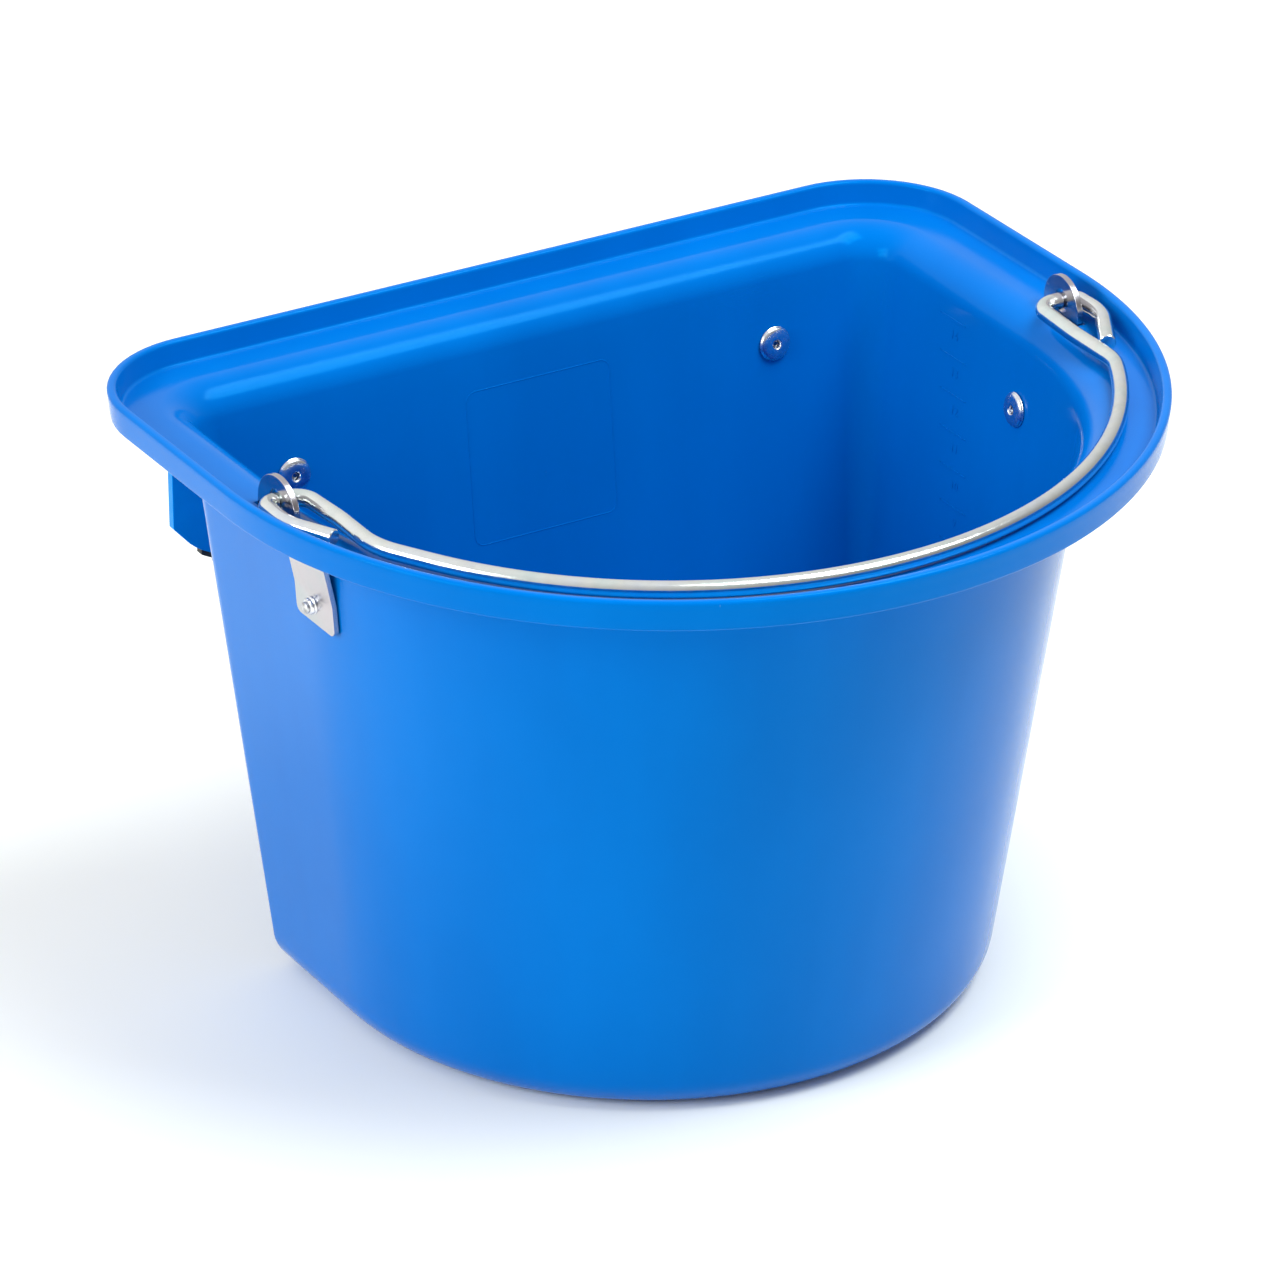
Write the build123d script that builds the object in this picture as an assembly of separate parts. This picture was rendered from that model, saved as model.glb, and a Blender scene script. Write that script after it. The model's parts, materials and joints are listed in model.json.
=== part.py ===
from build123d import *
import math
import os

os.makedirs("parts", exist_ok=True)

# A D-shaped feed bucket. Millimetres; +Z is up, +Y points to the flat back, the origin is on the
# floor, under the centre of the lip's half-round front.

# Rim: an upright lip round a flat ledge.
LIP_TOP = 262.0
LIP_HALF_WIDTH = 200.0
LIP_BACK = 134.4
LIP_CORNER = 50.0
LIP_DRAFT = 1.1
LIP_TOP_THICKNESS = 4.0
LIP_FOOT_THICKNESS = 5.2
RIM_DEPTH = 12.7
LEDGE_DEPTH = 10.0
LEDGE_Z = LIP_TOP - LEDGE_DEPTH
RIM_BOTTOM = LIP_TOP - RIM_DEPTH
MOUTH_RADIUS = 13.0
LIP_EDGE_RADIUS = 1.6
BAND_EDGE_RADIUS = 1.0
LIP_FOOT_RADIUS = 1.5
LIP_CLEAR = 10.0

# Wall: a half-round front, straight sides and a flat back, tapering to a flat base.
WALL = 2.5
FLOOR = 3.0
WALL_TOP = dict(half_width=167.6, centre_y=0.0, back_y=104.2, corner=19.5)
WALL_BASE = dict(half_width=141.3, centre_y=14.0, back_y=76.8, corner=8.0)
BASE_RADIUS = 12.0

# Bail: a bent wire that turns in the two brackets.
WIRE_RADIUS = 3.5
HINGE_Z = LIP_TOP - 4.0
BAIL_GAP = 0.4
BOW_FRONT_Y = -176.6
INNER_EYE_BEND = 8.4
OUTER_EYE_BEND = 5.0
TAIL_BEND = 26.0

# The two ends are bent by hand, so each has its own corners: distance from the middle plane, y.
BOW_ENDS = {"left": (157.6, -86.0), "right": (163.2, -77.2)}
LEG_CORNERS = {"left": [(169.4, -66.0), (169.4, -38.0)], "right": [(166.6, -70.0), (166.6, -42.0)]}
LEG_BENDS = {"left": [34.0, 60.0], "right": [24.0, 60.0]}
LEG_TOPS = {"left": 171.6, "right": 168.4}
OUTER_LEGS = {"left": 188.8, "right": 187.2}
TAIL_CORNERS = {"left": (189.4, -31.5), "right": (188.0, -31.0)}
TAIL_ENDS = {"left": (179.2, -51.2), "right": (173.6, -55.6)}

# Brackets: straps that stand up through the ledge and lie against the side walls.
STRAP = 2.5
STRAP_WIDTH = 27.0
STRAP_LEAN = 3.7
FOOT_Y = -8.0
TAB_X = 182.0
TAB_TOP = LIP_TOP + 6.5
EYE_RADIUS = 4.8
STRAP_KNEE_Z = LIP_TOP - 17.5
STRAP_SHOULDER_Z = LIP_TOP - 31.0
STRAP_STAND_OFF = 2.6
STRAP_FOOT_REACH = 5.3
STRAP_BOTTOM = LIP_TOP - 64.0
STRAP_BEND = 10.0
STRAP_CORNER = 3.0
SLOT_GAP = 0.6

# Rivets: blind rivets with a large domed flange inside the bucket.
BRACKET_RIVET_Z = LIP_TOP - 52.0
HOOK_RIVET_Z = LIP_TOP - 52.3
RIVET_SHANK = 2.4
RIVET_HOLE = 2.5
FLANGE_RADIUS = 7.4
FLANGE_HEIGHT = 2.0
FLANGE_MOUTH = 1.9
FLANGE_STAND_OFF = 0.3
BLIND_RADIUS = 3.9
BLIND_LENGTH = 2.7
STEM_RADIUS = 1.35
STEM_HEAD_RADIUS = 2.6
STEM_HEAD_LENGTH = 1.7
STEM_RECESS = 1.2

# The rivet holes are drilled by hand, so each is off its even place: along the wall, then upwards.
# The keys are the sides, -1 for the left and 1 for the right.
BRACKET_RIVET_SHIFTS = {-1: (2.0, -3.3), 1: (-2.6, 3.0)}
HOOK_RIVET_SHIFTS = {-1: (-2.6, -2.1), 1: (-2.0, 2.2)}

# Rear hooks: broad moulded hooks that drop over a rail or a board.
HOOK_X = 114.1
HOOK_THICKNESS = 4.0
HOOK_WIDTH = 61.0
HOOK_TOP = LIP_TOP - 20.0
HOOK_LEG_BOTTOM = LIP_TOP - 80.0
HOOK_GAP = 46.0
HOOK_BEND = 7.0
TONGUE_SHOULDER = LIP_TOP - 94.0
TONGUE_KNEE_Z = LIP_TOP - 102.5
TONGUE_KNEE_X = 23.0
TONGUE_BOTTOM = LIP_TOP - 111.6
LEG_CORNER = 12.0
TIP_HALF_WIDTH = 18.0
TIP_DROP = 2.2
TIP_STEM_HALF_WIDTH = 12.0
TIP_STEM_THICKNESS = 1.6
TIP_STEM_HEIGHT = 7.0

SIDES = {"left": -1, "right": 1}


def d_face(half_width, centre_y, back_y, corner, z):
    """A D at height z: half-round front, straight sides, flat back with round corners."""
    side_y = back_y - corner
    corner_x = half_width - corner
    edges = [
        ThreePointArc((-half_width, centre_y), (0, centre_y - half_width), (half_width, centre_y)),
        Line((half_width, centre_y), (half_width, side_y)),
        CenterArc((corner_x, side_y), corner, 0, 90),
        Line((corner_x, back_y), (-corner_x, back_y)),
        CenterArc((-corner_x, side_y), corner, 90, 90),
        Line((-half_width, side_y), (-half_width, centre_y)),
    ]
    return Pos(0, 0, z) * make_face(edges)


def lip_face(inset, z):
    """The lip's outline, moved inwards by inset."""
    return d_face(LIP_HALF_WIDTH - inset, 0, LIP_BACK - inset, LIP_CORNER - inset, z)


def wall_size(name, z):
    """A size of the wall's outer outline at height z: it changes evenly from base to rim."""
    share = z / RIM_BOTTOM
    return WALL_BASE[name] + share * (WALL_TOP[name] - WALL_BASE[name])


def wall_face(inset, z):
    """The wall's outline at height z, moved inwards by inset."""
    return d_face(
        wall_size("half_width", z) - inset,
        wall_size("centre_y", z),
        wall_size("back_y", z) - inset,
        wall_size("corner", z) - inset,
        z,
    )


def bracket_turn():
    """Angle in plan of the wall's normal where a bracket's foot lies, in degrees."""
    ahead = wall_size("centre_y", BRACKET_RIVET_Z) - FOOT_Y
    return math.degrees(math.asin(ahead / wall_size("half_width", BRACKET_RIVET_Z)))


def bracket_tilt():
    """Angle of the wall from upright where a bracket's foot lies, in degrees."""
    spread = WALL_TOP["half_width"] - WALL_BASE["half_width"]
    shift = WALL_BASE["centre_y"] - WALL_TOP["centre_y"]
    spread += shift * math.sin(math.radians(bracket_turn()))
    return math.degrees(math.atan(spread / RIM_BOTTOM))


def foot_x():
    """Distance of the wall's outer face from the middle plane, at a bracket's rivet."""
    return wall_size("half_width", BRACKET_RIVET_Z) * math.cos(math.radians(bracket_turn()))


def tab_reach():
    """Distance of a bracket's tab from its foot, square to the wall in plan."""
    return (TAB_X - foot_x()) / math.cos(math.radians(bracket_turn()))


def hinge_y():
    """Y of the bail's hinge line, through the middle of both tabs."""
    turned = tab_reach() * math.sin(math.radians(bracket_turn()))
    leaned = (HINGE_Z - BRACKET_RIVET_Z) * math.sin(math.radians(STRAP_LEAN))
    return FOOT_Y - turned - leaned * math.cos(math.radians(bracket_turn()))


def back_tilt():
    """Angle of the back wall from upright, in degrees."""
    return math.degrees(math.atan((WALL_TOP["back_y"] - WALL_BASE["back_y"]) / RIM_BOTTOM))


def edges_at(solid, z, inset=0.0):
    """Edges that lie flat at height z, all inside the lip's outline moved inwards by inset."""
    half = LIP_HALF_WIDTH + 1 - inset
    back = LIP_BACK + 1 - inset
    found = []
    for edge in solid.edges():
        box = edge.bounding_box()
        level = abs(box.min.Z - z) < 0.01 and abs(box.max.Z - z) < 0.01
        inside = box.max.X < half and box.min.X > -half and box.max.Y < back
        if level and inside:
            found.append(edge)
    return found


def bucket_blank():
    """The bucket's outer shape as a full solid."""
    wall = loft([wall_face(0, 0), wall_face(0, RIM_BOTTOM)], ruled=True)
    rim = loft([lip_face(LIP_DRAFT, RIM_BOTTOM), lip_face(0, LIP_TOP)], ruled=True)
    blank = wall + rim
    blank = fillet(edges_at(blank, RIM_BOTTOM, LIP_CLEAR), MOUTH_RADIUS - WALL)
    blank = fillet(edges_at(blank, RIM_BOTTOM), BAND_EDGE_RADIUS)
    return fillet(edges_at(blank, 0), BASE_RADIUS)


def bucket_cavity():
    """The hollow of the bucket: the tapered inside and the recess inside the lip."""
    inside = loft([wall_face(WALL, FLOOR), wall_face(WALL, LEDGE_Z)], ruled=True)
    recess = loft(
        [lip_face(LIP_FOOT_THICKNESS, LEDGE_Z), lip_face(LIP_TOP_THICKNESS, LIP_TOP)], ruled=True
    )
    cavity = inside + recess
    cavity = fillet(edges_at(cavity, LEDGE_Z, LIP_CLEAR), MOUTH_RADIUS)
    foot_edges = [e for e in edges_at(cavity, LEDGE_Z) if e not in edges_at(cavity, LEDGE_Z, LIP_CLEAR)]
    cavity = fillet(foot_edges, LIP_FOOT_RADIUS)
    return fillet(edges_at(cavity, FLOOR), BASE_RADIUS - WALL)


def bracket_frame(side):
    """An upright frame at a bracket's foot: +X points out of the wall, the origin is on its face."""
    turn = math.radians(bracket_turn())
    outward = (side * math.cos(turn), -math.sin(turn), 0)
    return Plane(origin=(side * foot_x(), FOOT_Y, 0), x_dir=outward, z_dir=(0, 0, 1))


def strap_frame(side):
    """The bracket's frame after the strap is leaned forwards about its rivet."""
    pivot = Pos(0, 0, BRACKET_RIVET_Z)
    return bracket_frame(side).location * pivot * Rot(side * STRAP_LEAN, 0, 0) * pivot.inverse()


def bracket_rivet_place(side):
    """The frame of a bracket rivet: its origin on the wall's outer face, +Z pointing outwards."""
    lean = math.tan(math.radians(bracket_tilt()))
    along, up = BRACKET_RIVET_SHIFTS[side]
    origin = (lean * up, side * along, BRACKET_RIVET_Z + up)
    local = Plane(origin=origin, x_dir=(0, 1, 0), z_dir=(1, 0, -lean))
    return bracket_frame(side) * local.location


def hook_rivet_place(side):
    """The frame of a hook rivet: its origin on the back wall's outer face, +Z pointing outwards."""
    along, up = HOOK_RIVET_SHIFTS[side]
    z = HOOK_RIVET_Z + up
    outward = (0, math.cos(math.radians(back_tilt())), -math.sin(math.radians(back_tilt())))
    origin = (side * HOOK_X + along, wall_size("back_y", z), z)
    return Plane(origin=origin, x_dir=(1, 0, 0), z_dir=outward)


def rivet_hole(place, length):
    """A round cutter along a rivet's axis, running past the wall by length each way."""
    return place * Cylinder(RIVET_HOLE, 2 * length)


def bucket_shell():
    """The one-piece moulded bucket with its slots and rivet holes."""
    shell = bucket_blank() - bucket_cavity()
    shell = fillet(edges_at(shell, LIP_TOP), LIP_EDGE_RADIUS)
    for side in SIDES.values():
        slot = Box(STRAP + 2 * SLOT_GAP, STRAP_WIDTH + 2 * SLOT_GAP, 4 * RIM_DEPTH)
        shell -= strap_frame(side) * Pos(tab_reach(), 0, LEDGE_Z) * slot
        shell -= rivet_hole(bracket_rivet_place(side), 3 * WALL)
        shell -= rivet_hole(hook_rivet_place(side), 3 * WALL)
    return shell


def bail_end(word, side, bow):
    """One end of the bail's line, from the bow to the end of the tail."""
    at_start = side < 0
    start = bow.position_at(0 if at_start else 1)
    along = bow.tangent_at(0 if at_start else 1) * side
    first = LEG_CORNERS[word][0]
    reach = (side * first[0] - start.X) / along.X
    points = [(start.X, start.Y), (side * first[0], start.Y + reach * along.Y)]
    others = [
        LEG_CORNERS[word][1],
        (LEG_TOPS[word], hinge_y()),
        (OUTER_LEGS[word], hinge_y()),
        TAIL_CORNERS[word],
        TAIL_ENDS[word],
    ]
    points += [(side * x, y) for x, y in others]
    return FilletPolyline(*points, radius=LEG_BENDS[word] + [INNER_EYE_BEND, OUTER_EYE_BEND, TAIL_BEND])


def bail_handle():
    """The bail: a front bow, two legs, and an eye bend and a tail at each end."""
    left, right = BOW_ENDS["left"], BOW_ENDS["right"]
    bow = ThreePointArc((-left[0], left[1]), (0, BOW_FRONT_Y), right)
    edges = list(bow.edges())
    for word, side in SIDES.items():
        edges += bail_end(word, side, bow).edges()
    path = Wire(edges)
    section = Plane(origin=path.position_at(0), z_dir=path.tangent_at(0)) * Circle(WIRE_RADIUS)
    wire = Pos(0, 0, HINGE_Z) * sweep(section, path=path)
    rest_drop = HINGE_Z - (LEDGE_Z + WIRE_RADIUS + BAIL_GAP)
    tilt = math.degrees(math.asin(rest_drop / (hinge_y() - BOW_FRONT_Y)))
    return wire.rotate(Axis((0, hinge_y(), HINGE_Z), (1, 0, 0)), tilt)


def bracket(side):
    """A strap: a round-topped tab above the ledge, a slanted neck, a shoulder and a foot on the wall."""
    lean = math.tan(math.radians(bracket_tilt()))
    half = STRAP / 2 / math.cos(math.radians(bracket_tilt()))
    foot_top = BRACKET_RIVET_Z + BRACKET_RIVET_SHIFTS[side][1] + STRAP_FOOT_REACH
    shoulder = half + lean * (STRAP_SHOULDER_Z - BRACKET_RIVET_Z) + STRAP_STAND_OFF
    points = [
        (tab_reach(), TAB_TOP),
        (tab_reach(), STRAP_KNEE_Z),
        (shoulder, STRAP_SHOULDER_Z),
        (half + lean * (foot_top - BRACKET_RIVET_Z), foot_top),
        (half + lean * (STRAP_BOTTOM - STRAP - BRACKET_RIVET_Z), STRAP_BOTTOM - STRAP),
    ]
    profile = Plane.XZ * trace(FilletPolyline(*points, radius=STRAP_BEND), STRAP)
    sheet = extrude(profile, STRAP_WIDTH / 2, both=True)
    height = TAB_TOP - STRAP_BOTTOM
    outline = Pos(0, (TAB_TOP + STRAP_BOTTOM) / 2) * Rectangle(STRAP_WIDTH, height)
    outline = fillet(outline.vertices().group_by(Axis.Y)[0], STRAP_CORNER)
    outline = fillet(outline.vertices().group_by(Axis.Y)[-1], STRAP_WIDTH / 2 - 0.01)
    cutter = extrude(Plane.YZ * outline, 2 * tab_reach(), both=True)
    strap = strap_frame(side) * (sheet & cutter)
    eye = Pos(side * TAB_X, hinge_y(), HINGE_Z) * Rot(0, 90, 0) * Cylinder(EYE_RADIUS, 4 * STRAP)
    return strap - eye - rivet_hole(bracket_rivet_place(side), 4 * STRAP)


def rivet(place, grip):
    """A blind rivet: domed flange inside, shank through the grip, bulged blind end outside."""
    inner = -WALL - FLANGE_STAND_OFF
    crown = inner - FLANGE_HEIGHT
    with BuildSketch(Plane.XZ) as profile:
        with BuildLine():
            rim_point = (FLANGE_RADIUS, inner)
            rim_top = (FLANGE_RADIUS - 0.3, inner - 0.6)
            mouth = (FLANGE_MOUTH + 0.5, crown)
            middle = (FLANGE_RADIUS * 0.68, crown + 0.42)
            Polyline((STEM_RADIUS, grip + BLIND_LENGTH), (STEM_RADIUS, crown + 1.3))
            Polyline((STEM_RADIUS, crown + 1.3), (FLANGE_MOUTH, crown + 0.9), mouth)
            ThreePointArc(mouth, middle, rim_top)
            Polyline(rim_top, rim_point, (RIVET_SHANK, inner), (RIVET_SHANK, grip))
            bulge = (BLIND_RADIUS, grip + BLIND_LENGTH * 0.45)
            end = (STEM_HEAD_RADIUS, grip + BLIND_LENGTH)
            ThreePointArc((RIVET_SHANK + 0.9, grip), bulge, end)
            Line((RIVET_SHANK, grip), (RIVET_SHANK + 0.9, grip))
            Line(end, (STEM_RADIUS, grip + BLIND_LENGTH))
        make_face()
    return place * revolve(profile.sketch, Axis.Z)


def mandrel(place, grip):
    """The snapped stem left inside a blind rivet, with its head over the blind end."""
    crown = -WALL - FLANGE_STAND_OFF - FLANGE_HEIGHT
    bottom = crown + 1.3 + STEM_RECESS
    top = grip + BLIND_LENGTH
    stem = Pos(0, 0, (bottom + top) / 2) * Cylinder(STEM_RADIUS, top - bottom)
    head = Pos(0, 0, top + STEM_HEAD_LENGTH / 2) * Cylinder(STEM_HEAD_RADIUS, STEM_HEAD_LENGTH)
    head = fillet(head.edges().sort_by(Axis.Z)[-1], 0.7)
    return place * (stem + head)


def hook_outline(side):
    """The hook seen from behind: a leg with round corners above a tapered, round-ended tongue."""
    half = HOOK_WIDTH / 2
    arc_middle = (0, TONGUE_BOTTOM)
    edges = [
        Polyline(
            (TONGUE_KNEE_X, TONGUE_KNEE_Z),
            (half, TONGUE_SHOULDER),
            (half, LIP_TOP),
            (-half, LIP_TOP),
            (-half, TONGUE_SHOULDER),
            (-TONGUE_KNEE_X, TONGUE_KNEE_Z),
        ),
        ThreePointArc((-TONGUE_KNEE_X, TONGUE_KNEE_Z), arc_middle, (TONGUE_KNEE_X, TONGUE_KNEE_Z)),
    ]
    face = make_face([edge for line in edges for edge in line.edges()])
    return Pos(side * HOOK_X, 0) * face


def tongue_y():
    """The tongue's middle plane, set back from the hook's leg by the gap for the board."""
    return wall_size("back_y", HOOK_RIVET_Z) + 1.5 * HOOK_THICKNESS + HOOK_GAP


def rear_hook(side):
    """A hook: a leg on the back wall, a bridge under the rim and a tongue behind the gap."""
    lean = math.tan(math.radians(back_tilt()))
    half = HOOK_THICKNESS / 2
    bridge_z = HOOK_TOP - half
    top_y = wall_size("back_y", bridge_z) + half / math.cos(math.radians(back_tilt()))
    leg_y = top_y - lean * (bridge_z - HOOK_LEG_BOTTOM)
    points = [
        (leg_y, HOOK_LEG_BOTTOM),
        (top_y, bridge_z),
        (tongue_y(), bridge_z),
        (tongue_y(), TONGUE_BOTTOM - HOOK_THICKNESS),
    ]
    line = FilletPolyline(*points, radius=HOOK_BEND)
    profile = Plane.YZ * trace(line, HOOK_THICKNESS)
    strip = Pos(side * HOOK_X, 0, 0) * extrude(profile, HOOK_WIDTH / 2, both=True)
    cutter = extrude(Plane.XZ.offset(-LIP_BACK) * hook_outline(side), LIP_BACK, both=True)
    hook = strip & cutter
    leg_edges = hook.edges().filter_by(Axis.Y, tolerance=10).sort_by(Axis.Y)
    leg_edges = leg_edges.filter_by(lambda e: abs(e.center().Z - HOOK_LEG_BOTTOM) < HOOK_THICKNESS)
    leg_edges = leg_edges.filter_by(lambda e: e.center().Y < LIP_BACK)
    hook = fillet(leg_edges, LEG_CORNER)
    slot = Box(2 * TIP_STEM_HALF_WIDTH, TIP_STEM_THICKNESS, 2 * TIP_STEM_HEIGHT)
    hook -= Pos(side * HOOK_X, tongue_y(), TONGUE_BOTTOM) * slot
    return hook - rivet_hole(hook_rivet_place(side), 4 * STRAP)


def hook_tip(side):
    """The rubber tip: a strip round the tongue's end, held by a stem in the tongue's slot."""
    outline = hook_outline(side)
    strip = extrude(Plane.XZ.offset(-tongue_y()) * outline, HOOK_THICKNESS / 2, both=True)
    dropped = Pos(0, 0, -TIP_DROP) * strip
    width = Box(2 * TIP_HALF_WIDTH, 2 * HOOK_THICKNESS, 4 * TIP_STEM_HEIGHT)
    width = Pos(side * HOOK_X, tongue_y(), TONGUE_BOTTOM) * width
    tip = (dropped & width) - strip
    stem = Box(2 * TIP_STEM_HALF_WIDTH, TIP_STEM_THICKNESS, TIP_STEM_HEIGHT + TIP_DROP)
    stem_z = TONGUE_BOTTOM + (TIP_STEM_HEIGHT - TIP_DROP) / 2
    return tip + Pos(side * HOOK_X, tongue_y(), stem_z) * stem


def save(name, shape):
    """Write one named piece to its own STEP file."""
    export_step(shape, f"parts/{name}.step")


save("bucket_shell", bucket_shell())
save("bail_handle", bail_handle())
for word, sign in SIDES.items():
    save(f"bail_bracket_{word}", bracket(sign))
    save(f"bracket_rivet_{word}", rivet(bracket_rivet_place(sign), STRAP))
    save(f"bracket_rivet_mandrel_{word}", mandrel(bracket_rivet_place(sign), STRAP))
    save(f"rear_hook_{word}", rear_hook(sign))
    save(f"hook_tip_{word}", hook_tip(sign))
    save(f"hook_rivet_{word}", rivet(hook_rivet_place(sign), HOOK_THICKNESS))
    save(f"hook_rivet_mandrel_{word}", mandrel(hook_rivet_place(sign), HOOK_THICKNESS))
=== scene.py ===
import json
import math

import bmesh
import bpy
from mathutils import Matrix, Vector


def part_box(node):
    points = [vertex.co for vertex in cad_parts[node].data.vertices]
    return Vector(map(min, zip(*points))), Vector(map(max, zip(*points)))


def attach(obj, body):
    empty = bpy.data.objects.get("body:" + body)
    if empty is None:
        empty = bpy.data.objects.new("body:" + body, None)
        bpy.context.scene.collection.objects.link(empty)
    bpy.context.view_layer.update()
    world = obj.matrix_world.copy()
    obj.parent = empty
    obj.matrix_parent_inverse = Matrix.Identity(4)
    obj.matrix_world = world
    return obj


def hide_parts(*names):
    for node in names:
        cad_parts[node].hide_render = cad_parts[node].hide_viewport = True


# A D-shaped feed bucket in metres, in the CAD's frame: +Z is up and +Y points to the flat back.
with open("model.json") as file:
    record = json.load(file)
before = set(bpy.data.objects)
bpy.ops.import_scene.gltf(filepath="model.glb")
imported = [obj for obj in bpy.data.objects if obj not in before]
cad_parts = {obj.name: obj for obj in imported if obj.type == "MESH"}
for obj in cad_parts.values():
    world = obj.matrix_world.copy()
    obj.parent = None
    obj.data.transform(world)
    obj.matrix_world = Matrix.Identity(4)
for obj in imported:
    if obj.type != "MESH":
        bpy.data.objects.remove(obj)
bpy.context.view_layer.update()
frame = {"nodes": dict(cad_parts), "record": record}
MM = 0.001

SIDES = {"left": -1, "right": 1}

# Sizes read from the frame.
SHELL_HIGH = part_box("bucket_shell")[1]
LIP_TOP = SHELL_HIGH.z
LIP_HALF_WIDTH = SHELL_HIGH.x
LIP_BACK = SHELL_HIGH.y
HINGE = Vector(frame["record"]["behaviour"]["joints"][0]["pos_m"])

# Rim.
LIP_CORNER = 50 * MM
LIP_DRAFT = 1.1 * MM
LIP_TOP_THICKNESS = 4 * MM
LIP_FOOT_THICKNESS = 5.2 * MM
LIP_EDGE_RADIUS = 1.6 * MM
LIP_FOOT_RADIUS = 1.5 * MM
BAND_EDGE_RADIUS = 1.0 * MM
RIM_DEPTH = 12.7 * MM
RIM_BOTTOM = LIP_TOP - RIM_DEPTH
LEDGE_Z = LIP_TOP - 10 * MM
MOUTH_RADIUS = 13 * MM

# Wall and base.
WALL = 2.5 * MM
FLOOR = 3 * MM
BASE_RADIUS = 14 * MM
BASE_RECESS = 1 * MM
WALL_TOP = dict(half_width=167.6 * MM, centre_y=0, back_y=104.2 * MM, corner=19.5 * MM)
WALL_BASE = dict(half_width=141.3 * MM, centre_y=14 * MM, back_y=76.8 * MM, corner=4 * MM)
SHARPEST_CORNER = 0.8 * MM

# Columns of the shell's mesh along each stretch of the D.
ARC_COLUMNS = 144
SIDE_COLUMNS = 14
CORNER_COLUMNS = 16
BACK_COLUMNS = 36
WALL_ROWS = 26
ROUND_STEPS = 10
SUPPORT = 0.4 * MM

# Slots for the brackets: the wall's angle in plan at them, and their place against each tab.
BRACKET_TURN = math.radians(3.6)
SLOT_THICKNESS = 4 * MM
SLOT_TRIM = 3 * MM
SLOT_IN = 1.6 * MM
SLOT_BACK = 0.5 * MM

# Bail.
WIRE_RADIUS = 3.5 * MM
BAIL_GAP = 0.4 * MM
BOW_FRONT_Y = -176.6 * MM
EYE_BENDS = [8.4 * MM, 5 * MM]
TAIL_BEND = 26 * MM
WIRE_CHAMFER = 0.4 * MM
WIRE_FACETS = 48
BOW_STEPS = 90
BAIL_ENDS = {
    "left": dict(
        bow_end=(157.6, -86),
        leg=[(169.4, -66), (169.4, -38)],
        leg_bends=[34, 60],
        leg_top=171.6,
        outer_leg=188.8,
        tail=[(189.4, -31.5), (179.2, -51.2)],
    ),
    "right": dict(
        bow_end=(163.2, -77.2),
        leg=[(166.6, -70), (166.6, -42)],
        leg_bends=[24, 60],
        leg_top=168.4,
        outer_leg=187.2,
        tail=[(188.0, -31), (173.6, -55.6)],
    ),
}

# Rivets, what each kind holds to the wall, and the walls' tilts from upright.
FLANGE_RADIUS = 7.4 * MM
FLANGE_HEIGHT = 2.2 * MM
FLANGE_EDGE = 0.75 * MM
RIVET_MOUTH = 1.9 * MM
STEM_RADIUS = 1.3 * MM
GRIPS = {"bracket": 2.5 * MM, "hook": 4 * MM}
SIDE_TILT = math.radians(6.2)
BACK_TILT = math.radians(6.3)
SLIT_DEPTH = 0.2
SLIT_HEIGHTS = (0.9 * MM, 2.3 * MM)
SLIT_SHARPNESS = 24
SLIT_TURN = 0.6

# Raised marks inside the bucket.
MARK_HEIGHT = 0.2 * MM
FRAME_HEIGHT = 0.1 * MM
MARK_WIDTH = 0.5 * MM
LITRE_SPACING = 15.6 * MM
TOP_MARK_Z = LIP_TOP - 28.9 * MM
TOP_MARK_LITRES = 14
MARK_COUNT = 7
TOP_MARK_BACK = 50 * MM
MARK_STEP_FORWARD = 3 * MM
MARK_LENGTH = 19 * MM
MARK_POINTS = 9
NUMERAL_FORWARD = 12 * MM
NUMERAL_DROP = 6.4 * MM
NUMERAL_SIZE = 5.5 * MM
FRAME_CENTRE = (-1.6 * MM, 190.2 * MM)
FRAME_SIZE = (68 * MM, 66.5 * MM)
FRAME_CORNER = 4.5 * MM


# ---------------------------------------------------------------- outlines


def d_outline(half_width, centre_y, back_y, corner, z):
    """A ring of points round a D, counter-clockwise from its left side, at height z."""
    side_y = back_y - corner
    corner_x = half_width - corner
    ring = []
    for i in range(ARC_COLUMNS):
        angle = math.pi * (1 + i / ARC_COLUMNS)
        ring.append((half_width * math.cos(angle), centre_y + half_width * math.sin(angle)))
    for i in range(SIDE_COLUMNS):
        ring.append((half_width, centre_y + (side_y - centre_y) * i / SIDE_COLUMNS))
    for i in range(CORNER_COLUMNS):
        angle = math.pi / 2 * i / CORNER_COLUMNS
        ring.append((corner_x + corner * math.cos(angle), side_y + corner * math.sin(angle)))
    for i in range(BACK_COLUMNS):
        ring.append((corner_x * (1 - 2 * i / BACK_COLUMNS), back_y))
    for i in range(CORNER_COLUMNS):
        angle = math.pi / 2 * (1 + i / CORNER_COLUMNS)
        ring.append((-corner_x + corner * math.cos(angle), side_y + corner * math.sin(angle)))
    for i in range(SIDE_COLUMNS):
        ring.append((-half_width, side_y + (centre_y - side_y) * i / SIDE_COLUMNS))
    return [Vector((x, y, z)) for x, y in ring]


def lip_ring(inset, z):
    """The lip's outline moved inwards by inset."""
    return d_outline(LIP_HALF_WIDTH - inset, 0, LIP_BACK - inset, LIP_CORNER - inset, z)


def wall_size(name, z):
    """A size of the wall's outline at height z: it changes evenly from base to rim."""
    return WALL_BASE[name] + (WALL_TOP[name] - WALL_BASE[name]) * z / RIM_BOTTOM


def wall_ring(inset, z):
    """The wall's outline at height z, moved inwards by inset."""
    corner = max(wall_size("corner", z) - inset, SHARPEST_CORNER)
    half_width = wall_size("half_width", z) - inset
    return d_outline(half_width, wall_size("centre_y", z), wall_size("back_y", z) - inset, corner, z)


def shrunk(ring, share):
    """A ring drawn towards the middle of the base."""
    middle = Vector((0, (WALL_BASE["back_y"] - WALL_BASE["half_width"]) / 2, ring[0].z))
    return [middle.lerp(p, share) for p in ring]


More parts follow.
